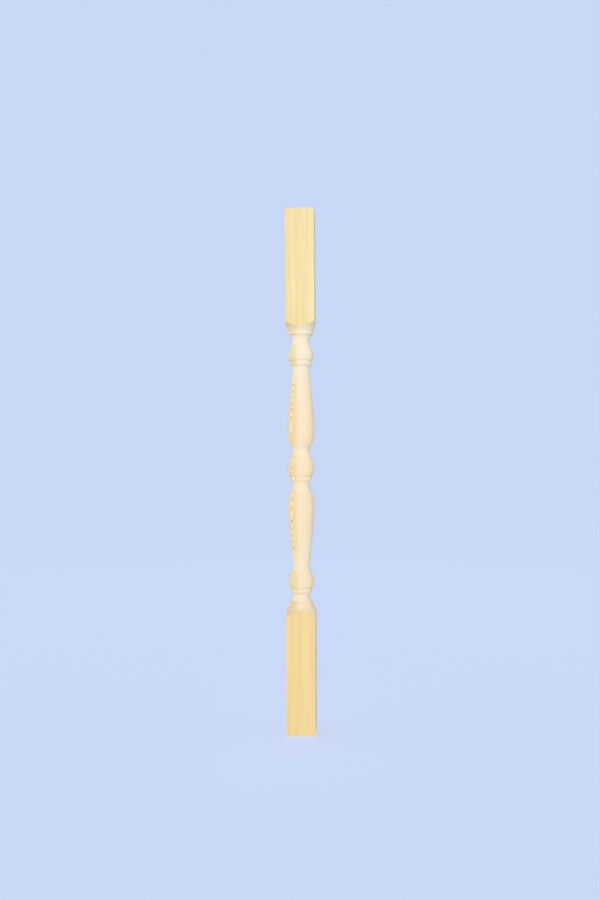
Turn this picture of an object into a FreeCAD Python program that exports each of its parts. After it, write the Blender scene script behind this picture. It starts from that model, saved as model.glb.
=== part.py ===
import FreeCAD, Part
import math
import os

# All sizes are in millimetres. The baluster stands upright on the origin, its axis along Z.

# Square blank with eased long edges
blank_width = 50.0
edge_round = 1.5

# Plain square blocks left at the two ends, measured to where the turning bites the corners
bottom_block_height = 201.5
top_block_height = 191.5

# Shoulder between a block and its neck, the same at both ends
shoulder_round_height = 16.7
shoulder_round_radius = 22.0
shoulder_fillet_height = 5.8
shoulder_fillet_radius = 21.0
shoulder_taper_height = 11.0
shoulder_taper_radius = 19.5

# Necks, all turned to one radius
neck_radius = 14.2
lower_neck_length = 2.0
centre_neck_length = 4.5
upper_neck_length = 3.0

# Fillet under each ball, and how far the ball stands out over it
ball_fillet_radius = 18.3
ball_overhang = 1.3

# Bottom ball
bottom_ball_radius = 22.4
bottom_cove_height = 6.6
bottom_ball_fillet_height = 7.6
bottom_ball_under_height = 10.5
bottom_ball_over_height = 25.3

# Lower vase, its belly above its taper
lower_vase_radius = 23.0
lower_vase_taper_height = 100.0
lower_vase_round_height = 35.5

# Centre ball
centre_ball_radius = 23.1
centre_cove_height = 7.2
centre_ball_fillet_height = 7.4
centre_ball_under_height = 14.6
centre_ball_over_height = 28.8

# Upper vase, its belly below its taper
upper_vase_radius = 23.5
upper_vase_round_height = 36.0
upper_vase_taper_height = 102.5

# Top ball
top_ball_radius = 22.2
top_cove_height = 6.8
top_ball_fillet_height = 7.6
top_ball_under_height = 8.3
top_ball_over_height = 25.8

# Handles of the curves, as shares of a curve's own width and height
round_corner_handle = (0.75, 0.57)
round_fillet_handle = (0.03, 0.34)
taper_fillet_handle = (0.55, 0.3)
taper_neck_handle = (0.0, 0.5)
under_edge_handle = (0.5, 0.12)
under_belly_handle = (0.0, 0.55)
swell_belly_handle = (0.0, 0.28)
swell_neck_handle = (0.22, 0.26)
vase_taper_neck_handle = (0.34, 0.33)
vase_taper_belly_handle = (0.0, 0.26)
vase_round_neck_handle = (0.42, 0.22)
vase_round_belly_handle = (0.0, 0.64)

# Room between the lathe outline and the blank where blocks and ends stay uncut
corner_clearance = 0.5
end_clearance = 5.0

clear_radius = blank_width / math.sqrt(2.0) + corner_clearance
ball_edge_radius = ball_fillet_radius + ball_overhang


def point(radius, height):
    return FreeCAD.Vector(radius, 0.0, height)


class Outline:
    """Half section of the lathe body, drawn upwards from one point to the next."""

    def __init__(self, radius, height):
        self.tip = point(radius, height)
        self.edges = []

    def add(self, edge, end):
        self.edges.append(edge)
        self.tip = end

    def line(self, radius, height):
        """Straight line to a place."""
        end = point(radius, height)
        self.add(Part.makeLine(self.tip, end), end)

    def step(self, radius):
        """Level line to a radius."""
        self.line(radius, self.tip.z)

    def run(self, height):
        """Upright line of a height."""
        self.line(self.tip.x, self.tip.z + height)

    def curve(self, radius, height, start_handle, end_handle):
        """Cubic curve that climbs a height to a radius."""
        width = radius - self.tip.x
        end = point(radius, self.tip.z + height)
        first = self.tip + point(start_handle[0] * width, start_handle[1] * height)
        second = end - point(end_handle[0] * width, end_handle[1] * height)
        bezier = Part.BezierCurve()
        bezier.setPoles([self.tip, first, second, end])
        self.add(bezier.toShape(), end)

    def cove(self, radius, height):
        """Circular arc that leaves upright and climbs a height to a radius."""
        width = radius - self.tip.x
        bend = (width ** 2 + height ** 2) / (2.0 * width)
        half_turn = math.atan2(height, bend - width) / 2.0
        middle = self.tip + point(bend * (1.0 - math.cos(half_turn)), bend * math.sin(half_turn))
        end = point(radius, self.tip.z + height)
        self.add(Part.Arc(self.tip, middle, end).toShape(), end)

    def ball(self, radius, cove_height, fillet_height, under_height, over_height):
        """Cove, fillet, overhang, round underside and swept upper side, from neck to neck."""
        self.cove(ball_fillet_radius, cove_height)
        self.run(fillet_height)
        self.step(ball_edge_radius)
        self.curve(radius, under_height, under_edge_handle, under_belly_handle)
        self.curve(neck_radius, over_height, swell_belly_handle, swell_neck_handle)


outline = Outline(clear_radius, -end_clearance)

# Bottom block
outline.run(end_clearance + bottom_block_height)

# Bottom shoulder
outline.curve(shoulder_round_radius, shoulder_round_height, round_corner_handle, round_fillet_handle)
outline.step(shoulder_fillet_radius)
outline.run(shoulder_fillet_height)
outline.step(shoulder_taper_radius)
outline.curve(neck_radius, shoulder_taper_height, taper_fillet_handle, taper_neck_handle)

# Bottom ball and lower neck
outline.ball(
    bottom_ball_radius,
    bottom_cove_height,
    bottom_ball_fillet_height,
    bottom_ball_under_height,
    bottom_ball_over_height,
)
outline.run(lower_neck_length)

# Lower vase and centre neck
outline.curve(lower_vase_radius, lower_vase_taper_height, vase_taper_neck_handle, vase_taper_belly_handle)
outline.curve(neck_radius, lower_vase_round_height, vase_round_belly_handle, vase_round_neck_handle)
outline.run(centre_neck_length)

# Centre ball and upper neck
outline.ball(
    centre_ball_radius,
    centre_cove_height,
    centre_ball_fillet_height,
    centre_ball_under_height,
    centre_ball_over_height,
)
outline.run(upper_neck_length)

# Upper vase, which ends in a sharp neck
outline.curve(upper_vase_radius, upper_vase_round_height, vase_round_neck_handle, vase_round_belly_handle)
outline.curve(neck_radius, upper_vase_taper_height, vase_taper_belly_handle, vase_taper_neck_handle)

# Top ball
outline.ball(
    top_ball_radius,
    top_cove_height,
    top_ball_fillet_height,
    top_ball_under_height,
    top_ball_over_height,
)

# Top shoulder, the bottom one turned over
outline.curve(shoulder_taper_radius, shoulder_taper_height, taper_neck_handle, taper_fillet_handle)
outline.step(shoulder_fillet_radius)
outline.run(shoulder_fillet_height)
outline.step(shoulder_round_radius)
outline.curve(clear_radius, shoulder_round_height, round_fillet_handle, round_corner_handle)

# Top block
outline.run(top_block_height)
overall_height = outline.tip.z
outline.run(end_clearance)

# Lathe body: the outline closed along the axis and turned once
outline.step(0.0)
outline.line(0.0, -end_clearance)
outline.step(clear_radius)
half_section = Part.Face(Part.Wire(outline.edges))
lathe_body = half_section.revolve(FreeCAD.Vector(0.0, 0.0, 0.0), FreeCAD.Vector(0.0, 0.0, 1.0), 360.0)

# Square blank with its four long edges eased
blank_corner = FreeCAD.Vector(-blank_width / 2.0, -blank_width / 2.0, 0.0)
blank = Part.makeBox(blank_width, blank_width, overall_height, blank_corner)
long_edges = [edge for edge in blank.Edges if edge.BoundBox.ZLength > blank_width]
blank = blank.makeFillet(edge_round, long_edges)

# The baluster is what the blank and the lathe body share
baluster = blank.common(lathe_body).Solids[0]

os.makedirs("parts", exist_ok=True)
baluster.exportStep("parts/baluster.step")
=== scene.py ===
import math

import bpy
from bpy.props import FloatProperty, FloatVectorProperty, IntProperty, PointerProperty
from mathutils import Color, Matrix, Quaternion, Vector
from mathutils.geometry import interpolate_bezier


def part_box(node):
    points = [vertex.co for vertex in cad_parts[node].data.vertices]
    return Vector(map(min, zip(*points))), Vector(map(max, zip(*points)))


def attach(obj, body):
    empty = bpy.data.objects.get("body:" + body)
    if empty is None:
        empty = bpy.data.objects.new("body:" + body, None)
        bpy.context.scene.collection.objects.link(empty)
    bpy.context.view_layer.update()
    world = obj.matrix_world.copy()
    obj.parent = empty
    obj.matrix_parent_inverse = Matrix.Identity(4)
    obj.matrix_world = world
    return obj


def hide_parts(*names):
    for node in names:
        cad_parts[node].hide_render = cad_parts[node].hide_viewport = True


bl_info = {
    "name": "Turned stair baluster",
    "version": (1, 0, 0),
    "blender": (4, 5, 0),
    "location": "View3D > Sidebar > Baluster",
    "description": "Models a turned pine stair baluster and the studio that it stands in",
    "category": "Object",
}

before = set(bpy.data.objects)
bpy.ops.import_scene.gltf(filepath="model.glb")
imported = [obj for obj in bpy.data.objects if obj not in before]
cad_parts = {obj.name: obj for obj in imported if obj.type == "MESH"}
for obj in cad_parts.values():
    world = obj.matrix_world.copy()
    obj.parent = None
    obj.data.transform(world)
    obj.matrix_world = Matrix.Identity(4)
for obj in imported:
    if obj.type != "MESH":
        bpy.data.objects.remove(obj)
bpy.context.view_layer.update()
BLANK_LOW, BLANK_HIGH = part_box("baluster")

# Handles of the outline's curves, as shares of a curve's own width and height
ROUND_CORNER_HANDLE = (0.75, 0.57)
ROUND_FILLET_HANDLE = (0.03, 0.34)
TAPER_FILLET_HANDLE = (0.55, 0.3)
TAPER_NECK_HANDLE = (0.0, 0.5)
UNDER_EDGE_HANDLE = (0.5, 0.12)
UNDER_BELLY_HANDLE = (0.0, 0.55)
SWELL_BELLY_HANDLE = (0.0, 0.28)
SWELL_NECK_HANDLE = (0.22, 0.26)
VASE_TAPER_NECK_HANDLE = (0.34, 0.33)
VASE_TAPER_BELLY_HANDLE = (0.0, 0.26)
VASE_ROUND_NECK_HANDLE = (0.42, 0.22)
VASE_ROUND_BELLY_HANDLE = (0.0, 0.64)

# Room between the lathe outline and the blank where blocks and ends stay uncut
CORNER_CLEARANCE = 0.0005
END_CLEARANCE = 0.005

# Sizes of the grain, as width across the trunk and length along it, in metres
LEAN_GRAIN = (0.11, 0.42)
RIPPLE_GRAIN = (0.02, 0.075)
WANDER_GRAIN = (0.02, 0.09)
FIBRE_GRAIN = (0.0006, 0.022)
STREAK_GRAIN = (0.0045, 0.16)
DUCT_GRAIN = (0.0022, 0.026)
TURNED_PORE_GRAIN = (0.00035, 0.0012)
SAWN_PORE_GRAIN = (0.0003, 0.0003)
SAW_SWAY_GRAIN = (0.02, 0.02)

# How far the grain and the saw stray, and how wide the tools' marks are, in metres
LEAN = 0.0016
RIPPLE = 0.0005
WANDER = 0.005
SAW_SWAY = 0.001
TOOL_MARK_WIDTH = 0.0009
KNIFE_MARK_LENGTH = 0.0016
SCRATCH_WIDTH = 0.0005

# Years of growth: over what distance their width changes, in metres, and by how much of a year,
# when in a year late wood comes and goes, its least and most strength, and a shift that keeps the
# draw of a year's tone apart from that of its strength
YEAR_CHANGE = 0.006
YEAR_UNEVENNESS = 0.5
LATE_COMES = (0.38, 0.93)
LATE_GOES = (0.96, 1.0)
LATE_STRENGTH = (0.45, 1.0)
TONE_DRAW_SHIFT = 57.3

# Resin ducts: the soft rim of a duct, and the draw above which a cell holds one
DUCT_RIM = (0.03, 0.14)
DUCT_DRAW = (0.70, 0.80)

# Where the turned finish changes: shares of the height, radii in metres, a share of the shoulder's
# round, how squarely a place faces the heart of the tree, and how far it faces up or down
TURNED_PALING = (0.60, 0.72)
NECK_RADII = (0.0145, 0.0175)
SLENDER_RADII = (0.0145, 0.0225)
SHOULDER_RADII = (0.025, 0.031)
SHOULDER_FADE = 0.85
FACING_HEART = (0.755, 0.965)
STEEPNESS = (0.42, 0.95)

# Where the planed finish changes: shares of the height, of an edge's round, of the blank's width,
# and strengths of a streak
PLANED_PALING = (0.1, 0.9)
ARRIS_REACH = (1.1, 0.6)
SAPWOOD_REACH = 0.6
PALE_STREAK = (0.0, 0.3)
DARK_STREAK = (0.0, 0.2)

# How much of a colour shows, from 0 for none to 1 for all, and at both ends where that changes
HEART_SIDE_BY_RADIUS = (0.3, 1.0)
GOLD_BY_HEIGHT = (1.0, 0.6)
SLENDER_PALE = 0.5
TURNED_LATE_BY_HEART_SIDE = (0.12, 0.9)
STEEP_CUT = 0.3
SHOULDER_CUT_BY_RADIUS = (0.6, 1.0)
END_GRAIN_BY_HEART_SIDE = (0.34, 0.64)
TURNED_RESIN = 0.35
SAPWOOD_PALE = 0.55
STREAK_PALE = 0.45
PALE_BY_HEIGHT = (0.3, 1.0)
PLANED_LATE_BY_STREAK = (0.06, 0.36)
PLANED_RESIN = 0.55
# How strongly the eased edges are painted paler, a painted highlight
ARRIS_PAINTED_HIGHLIGHT = 0.4
SAWN_LATE = 0.8

# How the finishes take the light
WOOD_SPECULAR = 0.3
SAWN_SPECULAR = 0.25
WOOD_DIFFUSE_ROUGHNESS = 0.8
FLOOR_SPECULAR = 0.1
FLOOR_ROUGHNESS = 0.9

# How finely the shapes are modelled
CURVE_STEP = 0.0013
FEWEST_CURVE_STEPS = 8
ARRIS_SEGMENTS = 6
END_EDGE_SEGMENTS = 3
CORNER_SEGMENTS = 3
BLOCK_LOOP_MARGIN = 0.012
FLOOR_SIDES = 128
FLOOR_COVE_SEGMENTS = 24
SMOOTH_ANGLE = math.radians(31.0)

# What counts as the same height, as one point and as a level face, and the room for a shader node
SAME_HEIGHT = 1e-6
MERGE_DISTANCE = 1e-5
LEVEL = 0.99
NODE_SPACING = 220.0


def length(name, description, default):
    """A length that a user may change, in metres."""
    return FloatProperty(
        name=name, description=description, default=default, min=0.0, unit="LENGTH", precision=5
    )


def colour(name, description, red, green, blue):
    """A colour that a user may change, given as it looks on a screen, from 0 to 255."""
    linear = Color((red / 255.0, green / 255.0, blue / 255.0)).from_srgb_to_scene_linear()
    return FloatVectorProperty(
        name=name, description=description, default=linear, size=3, min=0.0, max=1.0, subtype="COLOR"
    )


def angle(name, description, degrees):
    """An angle that a user may change."""
    return FloatProperty(name=name, description=description, default=math.radians(degrees), subtype="ANGLE")


def share(name, description, default):
    """A share from nothing to all that a user may change."""
    return FloatProperty(
        name=name, description=description, default=default, min=0.0, max=1.0, subtype="FACTOR"
    )


def power(name, description, default):
    """A light's power that a user may change, in watts."""
    return FloatProperty(name=name, description=description, default=default, min=0.0, unit="POWER")


class BalusterSizes(bpy.types.PropertyGroup):
    """Sizes of the baluster, from the blank to the smallest fillet."""

    blank_width: length("Blank width", "Width of the square blank", BLANK_HIGH.x - BLANK_LOW.x)
    blank_height: length("Blank height", "Length of the blank", BLANK_HIGH.z - BLANK_LOW.z)
    edge_round: length("Edge round", "Radius of the eased long edges", 0.0015)
    end_edge_round: length("End edge round", "How far the edges of the sawn ends are broken", 0.0003)
    turned_edge_round: length("Turned edge round", "How far sanding has softened a turned corner", 0.00025)
    turn_steps: IntProperty(
        name="Turn steps", description="Facets round the turned stretch", default=160, min=24
    )

    bottom_block: length("Bottom block", "Height of the plain bottom block", 0.2015)
    shoulder_round: length("Shoulder round", "Height of the round that takes off the corners", 0.0167)
    shoulder_round_radius: length("Shoulder round radius", "Radius where that round ends", 0.022)
    shoulder_fillet: length("Shoulder fillet", "Height of the fillet beside the round", 0.0058)
    shoulder_fillet_radius: length("Shoulder fillet radius", "Radius of that fillet", 0.021)
    shoulder_taper: length("Shoulder taper", "Height of the taper from the fillet to the neck", 0.011)
    shoulder_taper_radius: length("Shoulder taper radius", "Radius where the taper starts", 0.0195)

    neck_radius: length("Neck radius", "Radius of every neck", 0.0142)
    lower_neck: length("Lower neck", "Length of the neck over the bottom ball", 0.002)
    centre_neck: length("Centre neck", "Length of the neck under the centre ball", 0.0045)
    upper_neck: length("Upper neck", "Length of the neck over the centre ball", 0.003)

    ball_fillet_radius: length("Ball fillet radius", "Radius of the fillet under each ball", 0.0183)
    ball_overhang: length("Ball overhang", "How far a ball stands out over its fillet", 0.0013)

    bottom_ball_radius: length("Bottom ball radius", "Largest radius of the bottom ball", 0.0224)
    bottom_cove: length("Bottom cove", "Height of the cove under its fillet", 0.0066)
    bottom_ball_fillet: length("Bottom ball fillet", "Height of its fillet", 0.0076)
    bottom_ball_under: length("Bottom ball underside", "Height of its underside", 0.0105)
    bottom_ball_over: length("Bottom ball upper side", "Height of its upper side", 0.0253)

    lower_vase_radius: length("Lower vase radius", "Largest radius of the lower vase", 0.023)
    lower_vase_taper: length("Lower vase taper", "Height of its taper", 0.1)
    lower_vase_round: length("Lower vase round", "Height of its round end", 0.0355)

    centre_ball_radius: length("Centre ball radius", "Largest radius of the centre ball", 0.0231)
    centre_cove: length("Centre cove", "Height of the cove under its fillet", 0.0072)
    centre_ball_fillet: length("Centre ball fillet", "Height of its fillet", 0.0074)
    centre_ball_under: length("Centre ball underside", "Height of its underside", 0.0146)
    centre_ball_over: length("Centre ball upper side", "Height of its upper side", 0.0288)

    upper_vase_radius: length("Upper vase radius", "Largest radius of the upper vase", 0.0235)
    upper_vase_round: length("Upper vase round", "Height of its round end", 0.036)
    upper_vase_taper: length("Upper vase taper", "Height of its taper", 0.1025)

    top_ball_radius: length("Top ball radius", "Largest radius of the top ball", 0.0222)
    top_cove: length("Top cove", "Height of the cove under its fillet", 0.0068)
    top_ball_fillet: length("Top ball fillet", "Height of its fillet", 0.0076)
    top_ball_under: length("Top ball underside", "Height of its underside", 0.0083)
    top_ball_over: length("Top ball upper side", "Height of its upper side", 0.0258)


class PineFinish(bpy.types.PropertyGroup):
    """Colours and grain of the raw pine."""

    ring_width: length("Ring width", "Width of one year's growth", 0.00115)
    heart_distance: length("Heart distance", "From the axis to the heart of the tree", 0.09)
    heart_side: angle("Heart side", "Where the heart lies, left of the front", 44.0)
    ring_shift: length("Ring shift", "Moves all the rings outwards", 0.0004)

    turned_top: colour("Turned top", "Early wood on the turned stretch, near the top", 249, 240, 220)
    turned_bottom: colour("Turned bottom", "Early wood on the turned stretch, lower down", 250, 236, 206)
    turned_gold: colour("Turned gold", "Early wood on the heart side of the turned stretch", 250, 235, 196)
    turned_late: colour("Turned late wood", "Late wood on the turned stretch", 222, 183, 114)
    end_grain: colour("End grain", "Wood cut across the grain", 234, 207, 168)
    sawn_early: colour("Sawn early wood", "Early wood on the sawn ends", 243, 224, 185)
    planed_top: colour("Planed top", "Early wood on the planed faces, near the top", 244, 226, 171)
    planed_bottom: colour("Planed bottom", "Early wood on the planed faces, near the bottom", 248, 223, 161)
    planed_late: colour("Planed late wood", "Late wood on the planed faces", 232, 200, 128)
    # The arris colour is a painted highlight: the eased edges painted paler, as where they catch the light
    arris: colour("Arris", "Eased edges, paler as a painted highlight", 252, 238, 205)
    planed_pale: colour("Planed pale", "Pale streaks on the planed faces", 248, 237, 195)
    resin: colour("Resin", "Fine resin ducts", 186, 128, 66)


class StudioStage(bpy.types.PropertyGroup):
    """The floor, the lights and the camera."""

    floor_radius: length("Floor radius", "Radius of the round studio", 3.4)
    wall_height: length("Wall height", "Height of the studio's wall", 5.0)
    cove_radius: length("Cove radius", "Radius of the sweep between floor and wall", 1.5)
    floor_gap: length("Floor gap", "How far the floor lies under the part", 0.0001)
    floor_colour: colour("Floor colour", "Pale, slightly cool floor", 184, 198, 226)
    floor_glow: share("Floor glow", "How brightly the floor is lit from within", 0.85)

    key_side: angle("Key side", "How far the main light stands left of the front", 3.0)
    key_distance: length("Key distance", "From the main light to the baluster's axis", 2.4)
    key_height: length("Key height", "Height of the main light's middle", 0.85)
    key_width: length("Key width", "How wide and soft the main light is", 2.8)
    key_power: power("Key power", "Power of the main light", 48.2)
    back_side: angle("Back side", "How far the light behind stands to the left, as the front sees it", 3.5)
    back_distance: length("Back distance", "From the light behind to the baluster's axis", 2.4)
    back_height: length("Back height", "Height of that light's middle", 0.45)
    back_width: length("Back width", "How wide and soft that light is", 1.2)
    back_power: power("Back power", "Power of that light", 27.0)
    sky_strength: share("Sky strength", "Soft light from all round", 0.36)

    camera_distance: length("Camera distance", "From the baluster's axis", 1.4)
    camera_height: length("Camera height", "Over the floor", 0.4867)
    camera_side: angle("Camera side", "How far the camera stands right of the front", 3.5)
    camera_roll: angle("Camera roll", "How far the camera is tipped over sideways", -0.19)
    camera_lens: FloatProperty(
        name="Camera lens", description="Focal length", default=32.3, min=1.0, unit="CAMERA"
    )
    aim_height: length("Aim height", "Height of the point that the camera looks at", 0.4867)
    aim_left: length("Aim left", "How far that point lies left of the axis", 0.0018)


def select_only(piece):
    """Makes a piece the only selected one, and the active one."""
    bpy.ops.object.select_all(action="DESELECT")
    piece.select_set(True)
    bpy.context.view_layer.objects.active = piece


def select_in_mesh(part, test):
    """Selects what passes a test in the active mesh: vertices, edges or polygons. Edit mode stays on."""
    bpy.ops.mesh.select_mode(type={"vertices": "VERT", "edges": "EDGE", "polygons": "FACE"}[part])
    bpy.ops.mesh.select_all(action="DESELECT")
    bpy.ops.object.mode_set(mode="OBJECT")
    mesh = bpy.context.object.data
    for element in getattr(mesh, part):
        element.select = test(mesh, element)
    bpy.ops.object.mode_set(mode="EDIT")


def edge_ends(mesh, edge):
    """The two ends of an edge."""
    return [mesh.vertices[index].co for index in edge.vertices]


class Outline:
    """Half section of the lathe body, drawn by extruding the tip of a wire."""

    def __init__(self, height):
        """Starts the wire with one vertex on the axis, and stays in edit mode."""
        bpy.ops.object.select_all(action="DESELECT")
        bpy.ops.mesh.primitive_plane_add(size=CURVE_STEP, location=(0.0, 0.0, height))
        bpy.ops.object.transform_apply()
        self.piece = bpy.context.object
        bpy.ops.object.mode_set(mode="EDIT")
        bpy.ops.mesh.merge(type="CENTER")
        self.tip = Vector((0.0, height))
        self.corners = []

    def line(self, radius, height):
        """Straight line to a place."""
        way = Vector((radius, height)) - self.tip
        bpy.ops.mesh.extrude_region_move(TRANSFORM_OT_translate={"value": (0.0, way.x, way.y)})
        self.tip += way

    def corner(self):
        """Marks the tip as a corner that sanding softens."""
        self.corners.append(self.tip.copy())

    def step(self, radius):
        """Level line to a radius, with a corner at each end."""
        self.corner()
        self.line(radius, self.tip.y)
        self.corner()

    def run(self, height):
        """Upright line of a height."""
        self.line(self.tip.x, self.tip.y + height)

    def curve(self, radius, height, start_handle, end_handle):
        """Cubic curve that climbs a height to a radius."""
        way = Vector((radius - self.tip.x, height))
        end = self.tip + way
        first = self.tip + way * Vector(start_handle)
        second = end - way * Vector(end_handle)
        steps = max(FEWEST_CURVE_STEPS, math.ceil(way.length / CURVE_STEP))
        for place in interpolate_bezier(self.tip.copy(), first, second, end, steps + 1)[1:]:
            self.line(place.x, place.y)

    def cove(self, radius, height):
        """Circular arc that leaves upright and climbs a height to a radius."""
        width = radius - self.tip.x
        bend = (width ** 2 + height ** 2) / (2.0 * width)
        turn = math.atan2(height, bend - width)
        start = self.tip.copy()
        steps = max(FEWEST_CURVE_STEPS, math.ceil(bend * turn / CURVE_STEP))
        for step in range(1, steps + 1):
            part = turn * step / steps
            place = start + bend * Vector((1.0 - math.cos(part), math.sin(part)))
            self.line(place.x, place.y)

    def ball(self, sizes, name):
        """Cove, fillet, overhang, round underside and swept upper side, from neck to neck."""
        edge_radius = sizes.ball_fillet_radius + sizes.ball_overhang
        self.cove(sizes.ball_fillet_radius, getattr(sizes, name + "_cove"))
        self.corner()
        self.run(getattr(sizes, name + "_ball_fillet"))
        self.step(edge_radius)
        radius = getattr(sizes, name + "_ball_radius")
        self.curve(radius, getattr(sizes, name + "_ball_under"), UNDER_EDGE_HANDLE, UNDER_BELLY_HANDLE)
        over = getattr(sizes, name + "_ball_over")
        self.curve(sizes.neck_radius, over, SWELL_BELLY_HANDLE, SWELL_NECK_HANDLE)

    def soften_corners(self, width):
        """Rounds the marked corners by a small width."""
        corners = [Vector((0.0, place.x, place.y)) for place in self.corners]
        select_in_mesh(
            "vertices", lambda mesh, vertex: any((vertex.co - c).length < MERGE_DISTANCE for c in corners)
        )
        bpy.ops.mesh.bevel(offset=width, segments=CORNER_SEGMENTS, affect="VERTICES")

    def turn(self, steps):
        """Turns the outline once round the axis and leaves edit mode."""
        bpy.ops.mesh.select_all(action="SELECT")
        bpy.ops.mesh.spin(steps=steps, angle=math.tau, center=(0.0, 0.0, 0.0), axis=(0.0, 0.0, 1.0))
        bpy.ops.mesh.select_all(action="SELECT")
        bpy.ops.mesh.remove_doubles(threshold=MERGE_DISTANCE)
        bpy.ops.mesh.normals_make_consistent(inside=False)
        bpy.ops.object.mode_set(mode="OBJECT")
        return self.piece


def top_block_height(sizes):
    """What the turned stretch leaves of the blank at the top."""
    shoulder = sizes.shoulder_round + sizes.shoulder_fillet + sizes.shoulder_taper
    balls = sum(
        getattr(sizes, name + part)
        for name in ("bottom", "centre", "top")
        for part in ("_cove", "_ball_fillet", "_ball_under", "_ball_over")
    )
    necks = sizes.lower_neck + sizes.centre_neck + sizes.upper_neck
    lower_vase = sizes.lower_vase_taper + sizes.lower_vase_round
    upper_vase = sizes.upper_vase_round + sizes.upper_vase_taper
    turned = 2.0 * shoulder + balls + necks + lower_vase + upper_vase
    return sizes.blank_height - sizes.bottom_block - turned


def turn_lathe_body(sizes):
    """The body that the lathe leaves, wider than the blank where the blocks stay square."""
    clear_radius = sizes.blank_width / math.sqrt(2.0) + CORNER_CLEARANCE
    outline = Outline(-END_CLEARANCE)
    outline.line(clear_radius, -END_CLEARANCE)
    outline.run(END_CLEARANCE + sizes.bottom_block)

    # Bottom shoulder
    outline.curve(
        sizes.shoulder_round_radius, sizes.shoulder_round, ROUND_CORNER_HANDLE, ROUND_FILLET_HANDLE
    )
    outline.step(sizes.shoulder_fillet_radius)
    outline.run(sizes.shoulder_fillet)
    outline.step(sizes.shoulder_taper_radius)
    outline.curve(sizes.neck_radius, sizes.shoulder_taper, TAPER_FILLET_HANDLE, TAPER_NECK_HANDLE)

    # Balls and vases
    outline.ball(sizes, "bottom")
    outline.run(sizes.lower_neck)
    outline.curve(
        sizes.lower_vase_radius, sizes.lower_vase_taper, VASE_TAPER_NECK_HANDLE, VASE_TAPER_BELLY_HANDLE
    )
    outline.curve(
        sizes.neck_radius, sizes.lower_vase_round, VASE_ROUND_BELLY_HANDLE, VASE_ROUND_NECK_HANDLE
    )
    outline.run(sizes.centre_neck)
    outline.ball(sizes, "centre")
    outline.run(sizes.upper_neck)
    outline.curve(
        sizes.upper_vase_radius, sizes.upper_vase_round, VASE_ROUND_NECK_HANDLE, VASE_ROUND_BELLY_HANDLE
    )
    outline.curve(
        sizes.neck_radius, sizes.upper_vase_taper, VASE_TAPER_BELLY_HANDLE, VASE_TAPER_NECK_HANDLE
    )
    outline.ball(sizes, "top")

    # Top shoulder, the bottom one turned over
    outline.curve(sizes.shoulder_taper_radius, sizes.shoulder_taper, TAPER_NECK_HANDLE, TAPER_FILLET_HANDLE)
    outline.step(sizes.shoulder_fillet_radius)
    outline.run(sizes.shoulder_fillet)
    outline.step(sizes.shoulder_round_radius)
    outline.curve(clear_radius, sizes.shoulder_round, ROUND_FILLET_HANDLE, ROUND_CORNER_HANDLE)

    # Top block, closed along the axis
    outline.line(clear_radius, sizes.blank_height + END_CLEARANCE)
    outline.line(0.0, sizes.blank_height + END_CLEARANCE)
    outline.soften_corners(sizes.turned_edge_round)
    return outline.turn(sizes.turn_steps)


def plane_blank(sizes):
    """The square blank, with its long edges eased and its sawn ends broken."""
    width = sizes.blank_width
    height = sizes.blank_height
    bpy.ops.object.select_all(action="DESELECT")
    middle = (0.0, 0.0, height / 2.0)
    bpy.ops.mesh.primitive_cube_add(size=1.0, location=middle, scale=(width, width, height))
    bpy.ops.object.transform_apply()
    blank = bpy.context.object
    bpy.ops.object.mode_set(mode="EDIT")

    def is_long(mesh, edge):
        first, second = edge_ends(mesh, edge)
        return abs(first.z - second.z) > width

    def is_at_end(mesh, edge):
        first, second = edge_ends(mesh, edge)
        level = abs(first.z - second.z) < SAME_HEIGHT
        return level and (first.z < SAME_HEIGHT or first.z > height - SAME_HEIGHT)

    select_in_mesh("edges", is_long)
    bpy.ops.mesh.bevel(offset=sizes.edge_round, segments=ARRIS_SEGMENTS, affect="EDGES")
    select_in_mesh("edges", is_at_end)
    bpy.ops.mesh.bevel(offset=sizes.end_edge_round, segments=END_EDGE_SEGMENTS, affect="EDGES")

    # A loop a little short of each shoulder keeps the long faces of the blocks clean
    turned_top = height - top_block_height(sizes)
    for cut_height in (sizes.bottom_block - BLOCK_LOOP_MARGIN, turned_top + BLOCK_LOOP_MARGIN):
        bpy.ops.mesh.select_all(action="SELECT")
        bpy.ops.mesh.bisect(plane_co=(0.0, 0.0, cut_height), plane_no=(0.0, 0.0, 1.0))
    bpy.ops.object.mode_set(mode="OBJECT")
    return blank


def apply_modifier(piece, kind, **settings):
    """Adds a modifier to a piece and applies it."""
    select_only(piece)
    modifier = piece.modifiers.new(kind.title(), kind)
    for name, value in settings.items():
        setattr(modifier, name, value)
    bpy.ops.object.modifier_apply(modifier=modifier.name)


class Value:
    """A number or vector in a shader tree that adds and multiplies like a plain one."""

    def __init__(self, tree, socket):
        self.tree = tree
        self.socket = socket

    def math(self, operation, *others):
        """What a Math node makes of this value and others."""
        return number(self.tree, operation, self, *others)

    def __add__(self, other):
        return self.math("ADD", other)

    def __sub__(self, other):
        return self.math("SUBTRACT", other)

    def __mul__(self, other):
        return self.math("MULTIPLY", other)

    def __truediv__(self, other):
        return self.math("DIVIDE", other)

    __radd__ = __add__
    __rmul__ = __mul__

    def __rsub__(self, other):
        return number(self.tree, "SUBTRACT", other, self)

    def rise(self, start, end):
        """Climbs smoothly from 0 to 1 as this value goes from start to end."""
        node = add_node(self.tree, "ShaderNodeMapRange", interpolation_type="SMOOTHSTEP")
        feed(self.tree, node.inputs["Value"], self)
        feed(self.tree, node.inputs["From Min"], start)
        feed(self.tree, node.inputs["From Max"], end)
        return Value(self.tree, node.outputs["Result"])


def add_node(tree, kind, **settings):
    """A new node, to the right of the ones before it."""
    node = tree.nodes.new(kind)
    node.location = (NODE_SPACING * len(tree.nodes), 0.0)
    for name, value in settings.items():
        setattr(node, name, value)
    return node


def feed(tree, socket, value):
    """Links a value to a socket, or sets the socket to a plain number or colour."""
    if isinstance(value, Value):
        tree.links.new(value.socket, socket)
    else:
        socket.default_value = value


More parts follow.
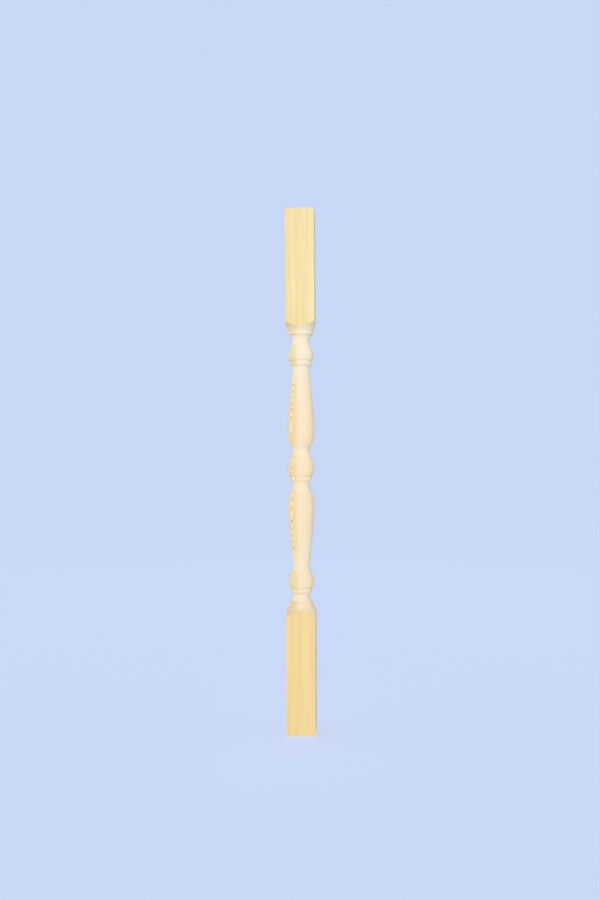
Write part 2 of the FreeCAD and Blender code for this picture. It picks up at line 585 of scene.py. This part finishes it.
def number(tree, operation, *values):
    """A Math node's result."""
    node = add_node(tree, "ShaderNodeMath", operation=operation)
    for socket, value in zip(node.inputs, values):
        feed(tree, socket, value)
    return Value(tree, node.outputs["Value"])


def vector(tree, operation, output, *values):
    """A Vector Math node's result."""
    node = add_node(tree, "ShaderNodeVectorMath", operation=operation)
    for socket, value in zip(node.inputs, values):
        feed(tree, socket, value)
    return Value(tree, node.outputs[output])


def level_length(tree, way):
    """The length of a vector, its height left out."""
    level = vector(tree, "MULTIPLY", "Vector", way, (1.0, 1.0, 0.0))
    return vector(tree, "LENGTH", "Value", level)


def scaled(tree, colour_value, factor):
    """A colour made brighter or darker by a factor."""
    node = add_node(tree, "ShaderNodeVectorMath", operation="SCALE")
    feed(tree, node.inputs[0], colour_value)
    feed(tree, node.inputs["Scale"], factor)
    return Value(tree, node.outputs["Vector"])


def split(tree, place):
    """The three parts of a vector."""
    node = add_node(tree, "ShaderNodeSeparateXYZ")
    feed(tree, node.inputs["Vector"], place)
    return [Value(tree, socket) for socket in node.outputs]


def mixed(tree, factor, first, second):
    """The first colour, turning into the second as the factor goes from 0 to 1."""
    node = add_node(tree, "ShaderNodeMix", data_type="RGBA", clamp_factor=True)
    feed(tree, node.inputs["Factor"], factor)
    colours = [socket for socket in node.inputs if socket.type == "RGBA"]
    for socket, value in zip(colours, (first, second)):
        feed(tree, socket, value if isinstance(value, Value) else (*value, 1.0))
    return Value(tree, next(socket for socket in node.outputs if socket.type == "RGBA"))


def between(ends, part):
    """A value that goes from the first end to the second as a part goes from 0 to 1."""
    first, second = ends
    return first + (second - first) * part


def as_shown(name):
    """A name as sockets show it, such as Ring width for ring_width."""
    return name.replace("_", " ").capitalize()


def weighed(wood, plain=0.0, **weights):
    """A plain value, plus each named feature of the wood times its weight."""
    total = plain
    for name, weight in weights.items():
        total = total + wood[as_shown(name)] * weight
    return total


def in_grains(tree, place, grain):
    """A place counted in grains, each so wide across the trunk and so long along it."""
    across, along = grain
    return vector(tree, "MULTIPLY", "Vector", place, (1.0 / across, 1.0 / across, 1.0 / along))


def noise(tree, place, grain, detail=2.0):
    """Smooth noise from 0 to 1, as coarse as a grain."""
    node = add_node(tree, "ShaderNodeTexNoise")
    feed(tree, node.inputs["Vector"], in_grains(tree, place, grain))
    node.inputs["Scale"].default_value = 1.0
    node.inputs["Detail"].default_value = detail
    return Value(tree, node.outputs["Fac"])


def noise_along(tree, position, grain, detail=1.0):
    """Smooth noise from 0 to 1 along one line."""
    node = add_node(tree, "ShaderNodeTexNoise", noise_dimensions="1D")
    feed(tree, node.inputs["W"], position / grain)
    node.inputs["Scale"].default_value = 1.0
    node.inputs["Detail"].default_value = detail
    return Value(tree, node.outputs["Fac"])


def random_by(tree, count):
    """A number from 0 to 1 drawn for each whole count."""
    node = add_node(tree, "ShaderNodeTexWhiteNoise", noise_dimensions="1D")
    feed(tree, node.inputs["W"], count)
    return Value(tree, node.outputs["Value"])


def new_group(name, inputs, outputs):
    """An empty node group with named sockets, its input values and its output node."""
    group = bpy.data.node_groups.new(name, "ShaderNodeTree")
    for socket_name, kind in inputs:
        group.interface.new_socket(socket_name, in_out="INPUT", socket_type=kind)
    for socket_name in outputs:
        group.interface.new_socket(socket_name, in_out="OUTPUT", socket_type="NodeSocketFloat")
    entry = add_node(group, "NodeGroupInput")
    exit_node = add_node(group, "NodeGroupOutput")
    values = {name: Value(group, entry.outputs[name]) for name, kind in inputs}
    return group, values, exit_node


def place_group(tree, group, **values):
    """Puts a group in a material with its own values, and gives its outputs by name."""
    node = add_node(tree, "ShaderNodeGroup", node_tree=group)
    for name, value in values.items():
        feed(tree, node.inputs[as_shown(name)], value)
    return {socket.name: Value(tree, socket) for socket in node.outputs}


def growth_rings():
    """Growth rings round the tree's heart: pale early wood that darkens to late wood and ends at once."""
    inputs = [
        ("Place", "NodeSocketVector"),
        ("Heart", "NodeSocketVector"),
        ("Ring width", "NodeSocketFloat"),
        ("Ring shift", "NodeSocketFloat"),
    ]
    group, given, result = new_group("Growth rings", inputs, ["Late wood", "Ring tone"])
    place = given["Place"]

    # The trunk is neither quite straight nor quite round
    lean = (noise(group, place, LEAN_GRAIN, detail=1.0) - 0.5) * LEAN
    ripple = (noise(group, place, RIPPLE_GRAIN) - 0.5) * RIPPLE
    from_heart = vector(group, "SUBTRACT", "Vector", place, given["Heart"])
    distance = level_length(group, from_heart) + lean + ripple - given["Ring shift"]

    # Years differ in width
    unevenness = (noise_along(group, distance, YEAR_CHANGE) - 0.5) * YEAR_UNEVENNESS
    years = distance / given["Ring width"] + unevenness
    year = years.math("FLOOR")
    season = years - year

    # Late wood: a gradual start and a sharp end, stronger in some years
    strength = between(LATE_STRENGTH, random_by(group, year))
    late = season.rise(*LATE_COMES) * (1.0 - season.rise(*LATE_GOES)) * strength
    feed(group, result.inputs["Late wood"], late)
    feed(group, result.inputs["Ring tone"], random_by(group, year + TONE_DRAW_SHIFT) - 0.5)
    return group


def wood_fibres():
    """What runs along the trunk: fine fibres, broad streaks and short resin ducts."""
    group, given, result = new_group(
        "Wood fibres", [("Place", "NodeSocketVector")], ["Fibre", "Streak", "Resin"]
    )
    place = given["Place"]
    feed(group, result.inputs["Fibre"], noise(group, place, FIBRE_GRAIN, detail=3.0) - 0.5)
    feed(group, result.inputs["Streak"], noise(group, place, STREAK_GRAIN) - 0.5)

    # Ducts are thin cells, of which only some are dark
    cells = add_node(group, "ShaderNodeTexVoronoi")
    feed(group, cells.inputs["Vector"], in_grains(group, place, DUCT_GRAIN))
    cells.inputs["Scale"].default_value = 1.0
    near = 1.0 - Value(group, cells.outputs["Distance"]).rise(*DUCT_RIM)
    chosen = split(group, Value(group, cells.outputs["Color"]))[0].rise(*DUCT_DRAW)
    feed(group, result.inputs["Resin"], near * chosen)
    return group


def surface(tree, output):
    """Where a point of the surface lies, or which way it faces there."""
    node = add_node(tree, "ShaderNodeTexCoord")
    return Value(tree, node.outputs[output])


def new_finish(name, specular):
    """An empty wood material, its node tree, its shader and the place on the surface."""
    material = bpy.data.materials.new(name)
    material.use_nodes = True
    tree = material.node_tree
    shader = next(node for node in tree.nodes if node.type == "BSDF_PRINCIPLED")
    shader.inputs["Specular IOR Level"].default_value = specular
    shader.inputs["Diffuse Roughness"].default_value = WOOD_DIFFUSE_ROUGHNESS
    return material, tree, shader, surface(tree, "Object")


def raise_surface(tree, shader, height):
    """Feeds a height in metres to the shader as bump."""
    bump = add_node(tree, "ShaderNodeBump")
    bump.inputs["Distance"].default_value = 1.0
    feed(tree, bump.inputs["Height"], height)
    tree.links.new(bump.outputs["Normal"], shader.inputs["Normal"])


class Grain:
    """The groups that all three finishes share, and where the tree's heart lies."""

    def __init__(self, finish):
        self.rings = growth_rings()
        self.fibres = wood_fibres()
        self.heart_way = Vector((-math.sin(finish.heart_side), -math.cos(finish.heart_side), 0.0))
        self.heart = finish.heart_distance * self.heart_way
        self.finish = finish

    def put_in(self, tree, place):
        """Late wood, ring tone, fibre, streak and resin in a material."""
        rings = place_group(
            tree,
            self.rings,
            place=place,
            heart=self.heart,
            ring_width=self.finish.ring_width,
            ring_shift=self.finish.ring_shift,
        )
        fibres = place_group(tree, self.fibres, place=place)
        return {**rings, **fibres}


def turned_pine(grain, finish, sizes):
    """Turned and sanded pine: cream, golden on the heart side, tan where the grain is cut across."""
    material, tree, shader, place = new_finish("Turned pine", WOOD_SPECULAR)
    wood = grain.put_in(tree, place)
    height = split(tree, place)[2]
    up = (height / sizes.blank_height).rise(*TURNED_PALING)
    off_axis = level_length(tree, place)
    to_heart = vector(tree, "DOT_PRODUCT", "Value", place, grain.heart_way) / off_axis
    out_of_neck = between(HEART_SIDE_BY_RADIUS, off_axis.rise(*NECK_RADII))
    heart_side = to_heart.rise(*FACING_HEART) * out_of_neck

    # The shoulders are cut across the grain, most of all at their corners
    turned_top = sizes.blank_height - top_block_height(sizes)
    from_block = (height - sizes.bottom_block).math("MINIMUM", turned_top - height)
    on_shoulder = 1.0 - from_block.rise(SHOULDER_FADE * sizes.shoulder_round, sizes.shoulder_round)
    shoulder = on_shoulder * between(SHOULDER_CUT_BY_RADIUS, off_axis.rise(*SHOULDER_RADII))
    steep = split(tree, surface(tree, "Normal"))[2].math("ABSOLUTE").rise(*STEEPNESS)
    cut_across = (steep * STEEP_CUT).math("MAXIMUM", shoulder)

    slender = 1.0 - off_axis.rise(*SLENDER_RADII)
    paling = up.math("MAXIMUM", slender * SLENDER_PALE)
    shown = mixed(tree, paling, finish.turned_bottom, finish.turned_top)
    shown = mixed(tree, heart_side * between(GOLD_BY_HEIGHT, up), shown, finish.turned_gold)
    late = wood["Late wood"] * between(TURNED_LATE_BY_HEART_SIDE, heart_side * heart_side)
    shown = mixed(tree, late, shown, finish.turned_late)
    end_grain = cut_across * between(END_GRAIN_BY_HEART_SIDE, heart_side)
    shown = mixed(tree, end_grain, shown, finish.end_grain)
    shown = mixed(tree, wood["Resin"] * TURNED_RESIN, shown, finish.resin)
    light = weighed(wood, plain=1.0, ring_tone=0.05, streak=0.06, fibre=0.07)
    feed(tree, shader.inputs["Base Color"], scaled(tree, shown, light))

    wood["Cut across"] = cut_across
    rough = weighed(wood, plain=0.62, late_wood=-0.12, cut_across=0.14, fibre=0.12)
    feed(tree, shader.inputs["Roughness"], rough)

    # Fine rings from the tool and the sandpaper, ridges of hard late wood, open pores in end grain
    wood["Tool marks"] = noise_along(tree, height, TOOL_MARK_WIDTH, detail=2.0)
    wood["Pores"] = noise(tree, place, TURNED_PORE_GRAIN) * cut_across
    relief = weighed(wood, late_wood=0.00002, fibre=0.00002, tool_marks=0.000012, pores=0.00004)
    raise_surface(tree, shader, relief)
    return material


def planed_pine(grain, finish, sizes):
    """Planed pine: straw yellow, deeper towards the bottom, with a painted highlight along the eased edges.
    """
    material, tree, shader, place = new_finish("Planed pine", WOOD_SPECULAR)
    wander = (noise(tree, place, WANDER_GRAIN, detail=1.0) - 0.5) * WANDER
    wood = grain.put_in(tree, vector(tree, "ADD", "Vector", place, wander))
    across_x, across_y, height = split(tree, place)
    half = sizes.blank_width / 2.0
    inner = across_x.math("ABSOLUTE").math("MINIMUM", across_y.math("ABSOLUTE"))
    on_arris = inner.rise(*(half - reach * sizes.edge_round for reach in ARRIS_REACH))

    up = (height / sizes.blank_height).rise(*PLANED_PALING)
    shown = mixed(tree, up, finish.planed_bottom, finish.planed_top)
    to_heart = vector(tree, "DOT_PRODUCT", "Value", place, grain.heart_way)
    sapwood = 1.0 - to_heart.rise(0.0, SAPWOOD_REACH * sizes.blank_width)
    pale = SAPWOOD_PALE * sapwood + STREAK_PALE * wood["Streak"].rise(*PALE_STREAK)
    shown = mixed(tree, pale * between(PALE_BY_HEIGHT, up), shown, finish.planed_pale)
    dark_streak = (0.0 - wood["Streak"]).rise(*DARK_STREAK)
    late = wood["Late wood"] * between(PLANED_LATE_BY_STREAK, dark_streak)
    shown = mixed(tree, late, shown, finish.planed_late)
    shown = mixed(tree, wood["Resin"] * PLANED_RESIN, shown, finish.resin)
    # Painted highlight: the eased edges are painted paler, as where they catch the light
    shown = mixed(tree, on_arris * ARRIS_PAINTED_HIGHLIGHT, shown, finish.arris)
    light = weighed(wood, plain=1.0, ring_tone=0.02, streak=0.13, fibre=0.11)
    feed(tree, shader.inputs["Base Color"], scaled(tree, shown, light))

    wood["Arris"] = on_arris
    rough = weighed(wood, plain=0.55, late_wood=-0.1, fibre=0.12, arris=-0.06)
    feed(tree, shader.inputs["Roughness"], rough)

    # Shallow waves from the planer's knives
    wood["Knife marks"] = (height * (math.tau / KNIFE_MARK_LENGTH)).math("SINE")
    relief = weighed(wood, late_wood=0.000015, fibre=0.000018, knife_marks=0.000003)
    raise_surface(tree, shader, relief)
    return material


def sawn_pine(grain, finish):
    """Sawn ends: the rings seen end on, with the saw's scratches."""
    material, tree, shader, place = new_finish("Sawn pine", SAWN_SPECULAR)
    wood = grain.put_in(tree, place)
    sway = noise(tree, place, SAW_SWAY_GRAIN, detail=1.0) * SAW_SWAY
    scratch_line = split(tree, place)[1] + sway
    wood["Scratches"] = noise_along(tree, scratch_line, SCRATCH_WIDTH, detail=3.0) - 0.5
    wood["Pores"] = noise(tree, place, SAWN_PORE_GRAIN) - 0.5

    shown = mixed(tree, wood["Late wood"] * SAWN_LATE, finish.sawn_early, finish.end_grain)
    light = weighed(wood, plain=0.94, ring_tone=0.08, scratches=0.14, pores=0.16)
    feed(tree, shader.inputs["Base Color"], scaled(tree, shown, light))
    feed(tree, shader.inputs["Roughness"], weighed(wood, plain=0.78, scratches=0.1))
    raise_surface(tree, shader, weighed(wood, scratches=0.00008, pores=0.00005, late_wood=0.00003))
    return material


class BALUSTER_OT_turn(bpy.types.Operator):
    """Turn the baluster from a square pine blank and give it its finish"""

    bl_idname = "baluster.turn"
    bl_label = "Turn baluster"
    bl_options = {"REGISTER", "UNDO"}

    def execute(self, context):
        sizes = context.scene.baluster_sizes
        finish = context.scene.baluster_finish
        grain = Grain(finish)

        lathe_body = turn_lathe_body(sizes)
        lathe_body.data.materials.append(turned_pine(grain, finish, sizes))
        baluster = plane_blank(sizes)
        baluster.name = "turned_baluster"
        baluster.data.materials.append(planed_pine(grain, finish, sizes))
        baluster.data.materials.append(sawn_pine(grain, finish))
        self.saw_ends(baluster)

        apply_modifier(
            baluster,
            "BOOLEAN",
            operation="INTERSECT",
            solver="EXACT",
            object=lathe_body,
            material_mode="TRANSFER",
        )
        bpy.data.objects.remove(lathe_body)
        self.crisp_shoulders(baluster)
        bpy.ops.object.shade_smooth_by_angle(angle=SMOOTH_ANGLE, keep_sharp_edges=True)
        apply_modifier(baluster, "WEIGHTED_NORMAL", keep_sharp=True, mode="FACE_AREA")

        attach(baluster, "root")
        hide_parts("baluster")
        return {"FINISHED"}

    def saw_ends(self, blank):
        """Gives the two end faces the sawn finish."""
        select_only(blank)
        bpy.ops.object.mode_set(mode="EDIT")
        select_in_mesh("polygons", lambda mesh, face: abs(face.normal.z) > LEVEL)
        blank.active_material_index = 1
        bpy.ops.object.material_slot_assign()
        bpy.ops.object.mode_set(mode="OBJECT")

    def crisp_shoulders(self, baluster):
        """Joins points that lie together, and sharpens the line where the turning bites the blocks."""
        turned = baluster.data.materials.find("Turned pine")
        bpy.ops.object.mode_set(mode="EDIT")
        bpy.ops.mesh.select_all(action="SELECT")
        bpy.ops.mesh.remove_doubles(threshold=MERGE_DISTANCE)
        select_in_mesh("polygons", lambda mesh, face: face.material_index == turned)
        bpy.ops.mesh.region_to_loop()
        bpy.ops.mesh.mark_sharp()
        bpy.ops.object.mode_set(mode="OBJECT")


def studio_floor(stage):
    """A pale, evenly glowing floor that sweeps up into a round wall."""
    height = stage.wall_height
    bpy.ops.object.select_all(action="DESELECT")
    bpy.ops.mesh.primitive_cylinder_add(
        vertices=FLOOR_SIDES,
        radius=stage.floor_radius,
        depth=height,
        location=(0.0, 0.0, height / 2.0 - stage.floor_gap),
    )
    bpy.ops.object.transform_apply()
    floor = bpy.context.object
    floor.name = "studio_floor"
    bpy.ops.object.mode_set(mode="EDIT")
    select_in_mesh("polygons", lambda mesh, face: face.normal.z > LEVEL)
    bpy.ops.mesh.delete(type="ONLY_FACE")

    def is_floor_rim(mesh, edge):
        return all(end.z < height / 2.0 for end in edge_ends(mesh, edge))

    select_in_mesh("edges", is_floor_rim)
    bpy.ops.mesh.bevel(offset=stage.cove_radius, segments=FLOOR_COVE_SEGMENTS, affect="EDGES")
    bpy.ops.mesh.select_all(action="SELECT")
    bpy.ops.mesh.flip_normals()
    bpy.ops.object.mode_set(mode="OBJECT")
    bpy.ops.object.shade_smooth()

    material = bpy.data.materials.new("Studio floor")
    material.use_nodes = True
    shader = next(node for node in material.node_tree.nodes if node.type == "BSDF_PRINCIPLED")
    shader.inputs["Base Color"].default_value = (*stage.floor_colour, 1.0)
    shader.inputs["Emission Color"].default_value = (*stage.floor_colour, 1.0)
    shader.inputs["Emission Strength"].default_value = stage.floor_glow
    shader.inputs["Roughness"].default_value = FLOOR_ROUGHNESS
    shader.inputs["Specular IOR Level"].default_value = FLOOR_SPECULAR
    floor.data.materials.append(material)
    floor.visible_shadow = False
    floor.visible_diffuse = False
    return floor


def aim(thing, target, roll=0.0):
    """Points a camera or light at a place."""
    way = target - thing.location
    turn = way.to_track_quat("-Z", "Y") @ Quaternion((0.0, 0.0, 1.0), roll)
    thing.rotation_euler = turn.to_euler()


class BALUSTER_OT_stage(bpy.types.Operator):
    """Set up the pale floor, the soft lights and the camera"""

    bl_idname = "baluster.stage"
    bl_label = "Set up studio"
    bl_options = {"REGISTER", "UNDO"}

    def execute(self, context):
        scene = context.scene
        stage = scene.baluster_stage
        floor = studio_floor(stage)
        self.light(scene, stage, floor)
        self.camera(scene, stage)
        scene.view_settings.view_transform = "Standard"
        return {"FINISHED"}

    def light(self, scene, stage, floor):
        """A large soft light in front, a smaller one behind, both for the part alone, and an even sky."""
        front = Vector((-math.sin(stage.key_side), -math.cos(stage.key_side), 0.0)) * stage.key_distance
        back = Vector((-math.sin(stage.back_side), math.cos(stage.back_side), 0.0)) * stage.back_distance
        key_light = self.soft_light(
            "key_light", front, stage.key_height, stage.key_width, stage.key_power
        )
        back_light = self.soft_light(
            "back_light", back, stage.back_height, stage.back_width, stage.back_power
        )
        back_light.visible_glossy = False
        unlit = bpy.data.collections.new("Not lit by the lamps")
        unlit.objects.link(floor)
        unlit.collection_objects[0].light_linking.link_state = "EXCLUDE"
        for lamp in (key_light, back_light):
            lamp.light_linking.receiver_collection = unlit

        world = bpy.data.worlds.new("Studio sky")
        world.use_nodes = True
        sky = next(node for node in world.node_tree.nodes if node.type == "BACKGROUND")
        sky.inputs["Color"].default_value = (1.0, 1.0, 1.0, 1.0)
        sky.inputs["Strength"].default_value = stage.sky_strength
        scene.world = world

    def soft_light(self, name, place, height, width, watts):
        """A round light at a height that shines level at the baluster's axis."""
        middle = Vector((0.0, 0.0, height))
        bpy.ops.object.light_add(type="AREA", location=place + middle)
        lamp = bpy.context.object
        lamp.name = name
        lamp.data.shape = "DISK"
        lamp.data.size = width
        lamp.data.energy = watts
        aim(lamp, middle)
        return lamp

    def camera(self, scene, stage):
        """A camera in front and a little to the right, which looks level at the baluster."""
        side = stage.camera_side
        away = Vector((math.sin(side), -math.cos(side), 0.0)) * stage.camera_distance
        bpy.ops.object.camera_add(location=away + Vector((0.0, 0.0, stage.camera_height)))
        camera = bpy.context.object
        camera.name = "front_camera"
        camera.data.lens = stage.camera_lens
        left = Vector((-math.cos(side), -math.sin(side), 0.0)) * stage.aim_left
        aim(camera, left + Vector((0.0, 0.0, stage.aim_height)), stage.camera_roll)
        scene.camera = camera


class BALUSTER_PT_sidebar(bpy.types.Panel):
    """The baluster's tools and values"""

    bl_idname = "BALUSTER_PT_sidebar"
    bl_label = "Turned baluster"
    bl_space_type = "VIEW_3D"
    bl_region_type = "UI"
    bl_category = "Baluster"

    def draw(self, context):
        layout = self.layout
        for operator in OPERATORS:
            layout.operator(operator.bl_idname)
        for owner in VALUES:
            box = layout.box()
            values = getattr(context.scene, owner)
            for name in values.__annotations__:
                box.prop(values, name)


OPERATORS = (BALUSTER_OT_turn, BALUSTER_OT_stage)
VALUES = {"baluster_sizes": BalusterSizes, "baluster_finish": PineFinish, "baluster_stage": StudioStage}
CLASSES = (*VALUES.values(), *OPERATORS, BALUSTER_PT_sidebar)


def register():
    """Tells Blender the classes, and gives each scene its values."""
    for each in CLASSES:
        bpy.utils.register_class(each)
    for name, group in VALUES.items():
        setattr(bpy.types.Scene, name, PointerProperty(type=group))


def unregister():
    """Takes the values and the classes away again."""
    for name in VALUES:
        delattr(bpy.types.Scene, name)
    for each in reversed(CLASSES):
        bpy.utils.unregister_class(each)


def main():
    """Makes the baluster and its studio."""
    register()
    bpy.ops.baluster.turn()
    bpy.ops.baluster.stage()


if __name__ == "__main__":
    main()
